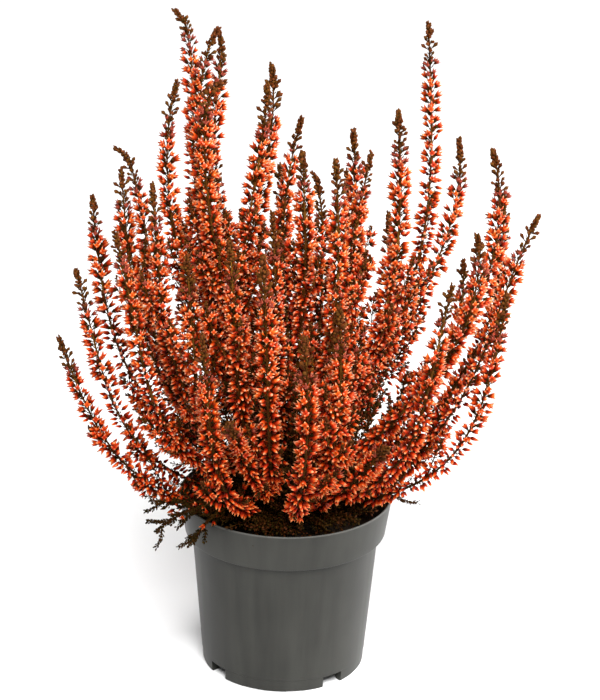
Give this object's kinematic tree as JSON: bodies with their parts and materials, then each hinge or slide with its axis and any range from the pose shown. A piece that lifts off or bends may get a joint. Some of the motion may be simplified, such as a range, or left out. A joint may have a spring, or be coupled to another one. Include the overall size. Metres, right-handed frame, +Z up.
{
  "type": "potted heather",
  "caption": "Bushy heather with tall upright spikes of closed orange buds, growing from a woody crown in a round dark grey plastic nursery pot.",
  "frame": {"origin": "on the pot's axis, at the surface that the pot stands on", "axes": "+Z up along the pot's axis, -Y the front, +X to the right seen from the front"},
  "size_m": [0.252, 0.2308, 0.37],
  "materials": {
    "pot": "dark grey moulded plastic, half matt",
    "compost": "dark crumbly peat compost",
    "wood": "thin red-brown bark",
    "flower": "dry satin petals, coral orange with paler tips",
    "leaf": "dark olive scale leaves"
  },
  "bodies": {
    "root": {"pot": "pot", "compost": "compost", "woody_crown": "wood", "flower_spike_01": "flower", "flower_spike_02": "flower", "flower_spike_03": "flower", "flower_spike_04": "flower", "flower_spike_05": "flower", "flower_spike_06": "flower", "flower_spike_07": "flower", "flower_spike_08": "flower", "flower_spike_09": "flower", "flower_spike_10": "flower", "flower_spike_11": "flower", "flower_spike_12": "flower", "flower_spike_13": "flower", "flower_spike_14": "flower", "flower_spike_15": "flower", "flower_spike_16": "flower", "flower_spike_17": "flower", "flower_spike_18": "flower", "flower_spike_19": "flower", "flower_spike_20": "flower", "flower_spike_21": "flower", "flower_spike_22": "flower", "flower_spike_23": "flower", "flower_spike_24": "flower", "flower_spike_25": "flower", "flower_spike_26": "flower", "flower_spike_27": "flower", "flower_spike_28": "flower", "flower_spike_29": "flower", "flower_spike_30": "flower", "flower_spike_31": "flower", "flower_spike_32": "flower", "flower_spike_33": "flower", "flower_spike_34": "flower", "flower_spike_35": "flower", "flower_spike_36": "flower", "flower_spike_37": "flower", "flower_spike_38": "flower", "flower_spike_39": "flower", "flower_spike_40": "flower", "flower_spike_41": "flower", "flower_spike_42": "flower", "flower_spike_43": "flower", "flower_spike_44": "flower", "flower_spike_45": "flower", "flower_spike_46": "flower", "flower_spike_47": "flower", "flower_spike_48": "flower", "flower_spike_49": "flower", "flower_spike_50": "flower", "flower_spike_51": "flower", "leafy_shoot_1": "leaf", "leafy_shoot_2": "leaf", "leafy_shoot_3": "leaf", "leafy_shoot_4": "leaf", "leafy_shoot_5": "leaf"}
  },
  "joints": []
}
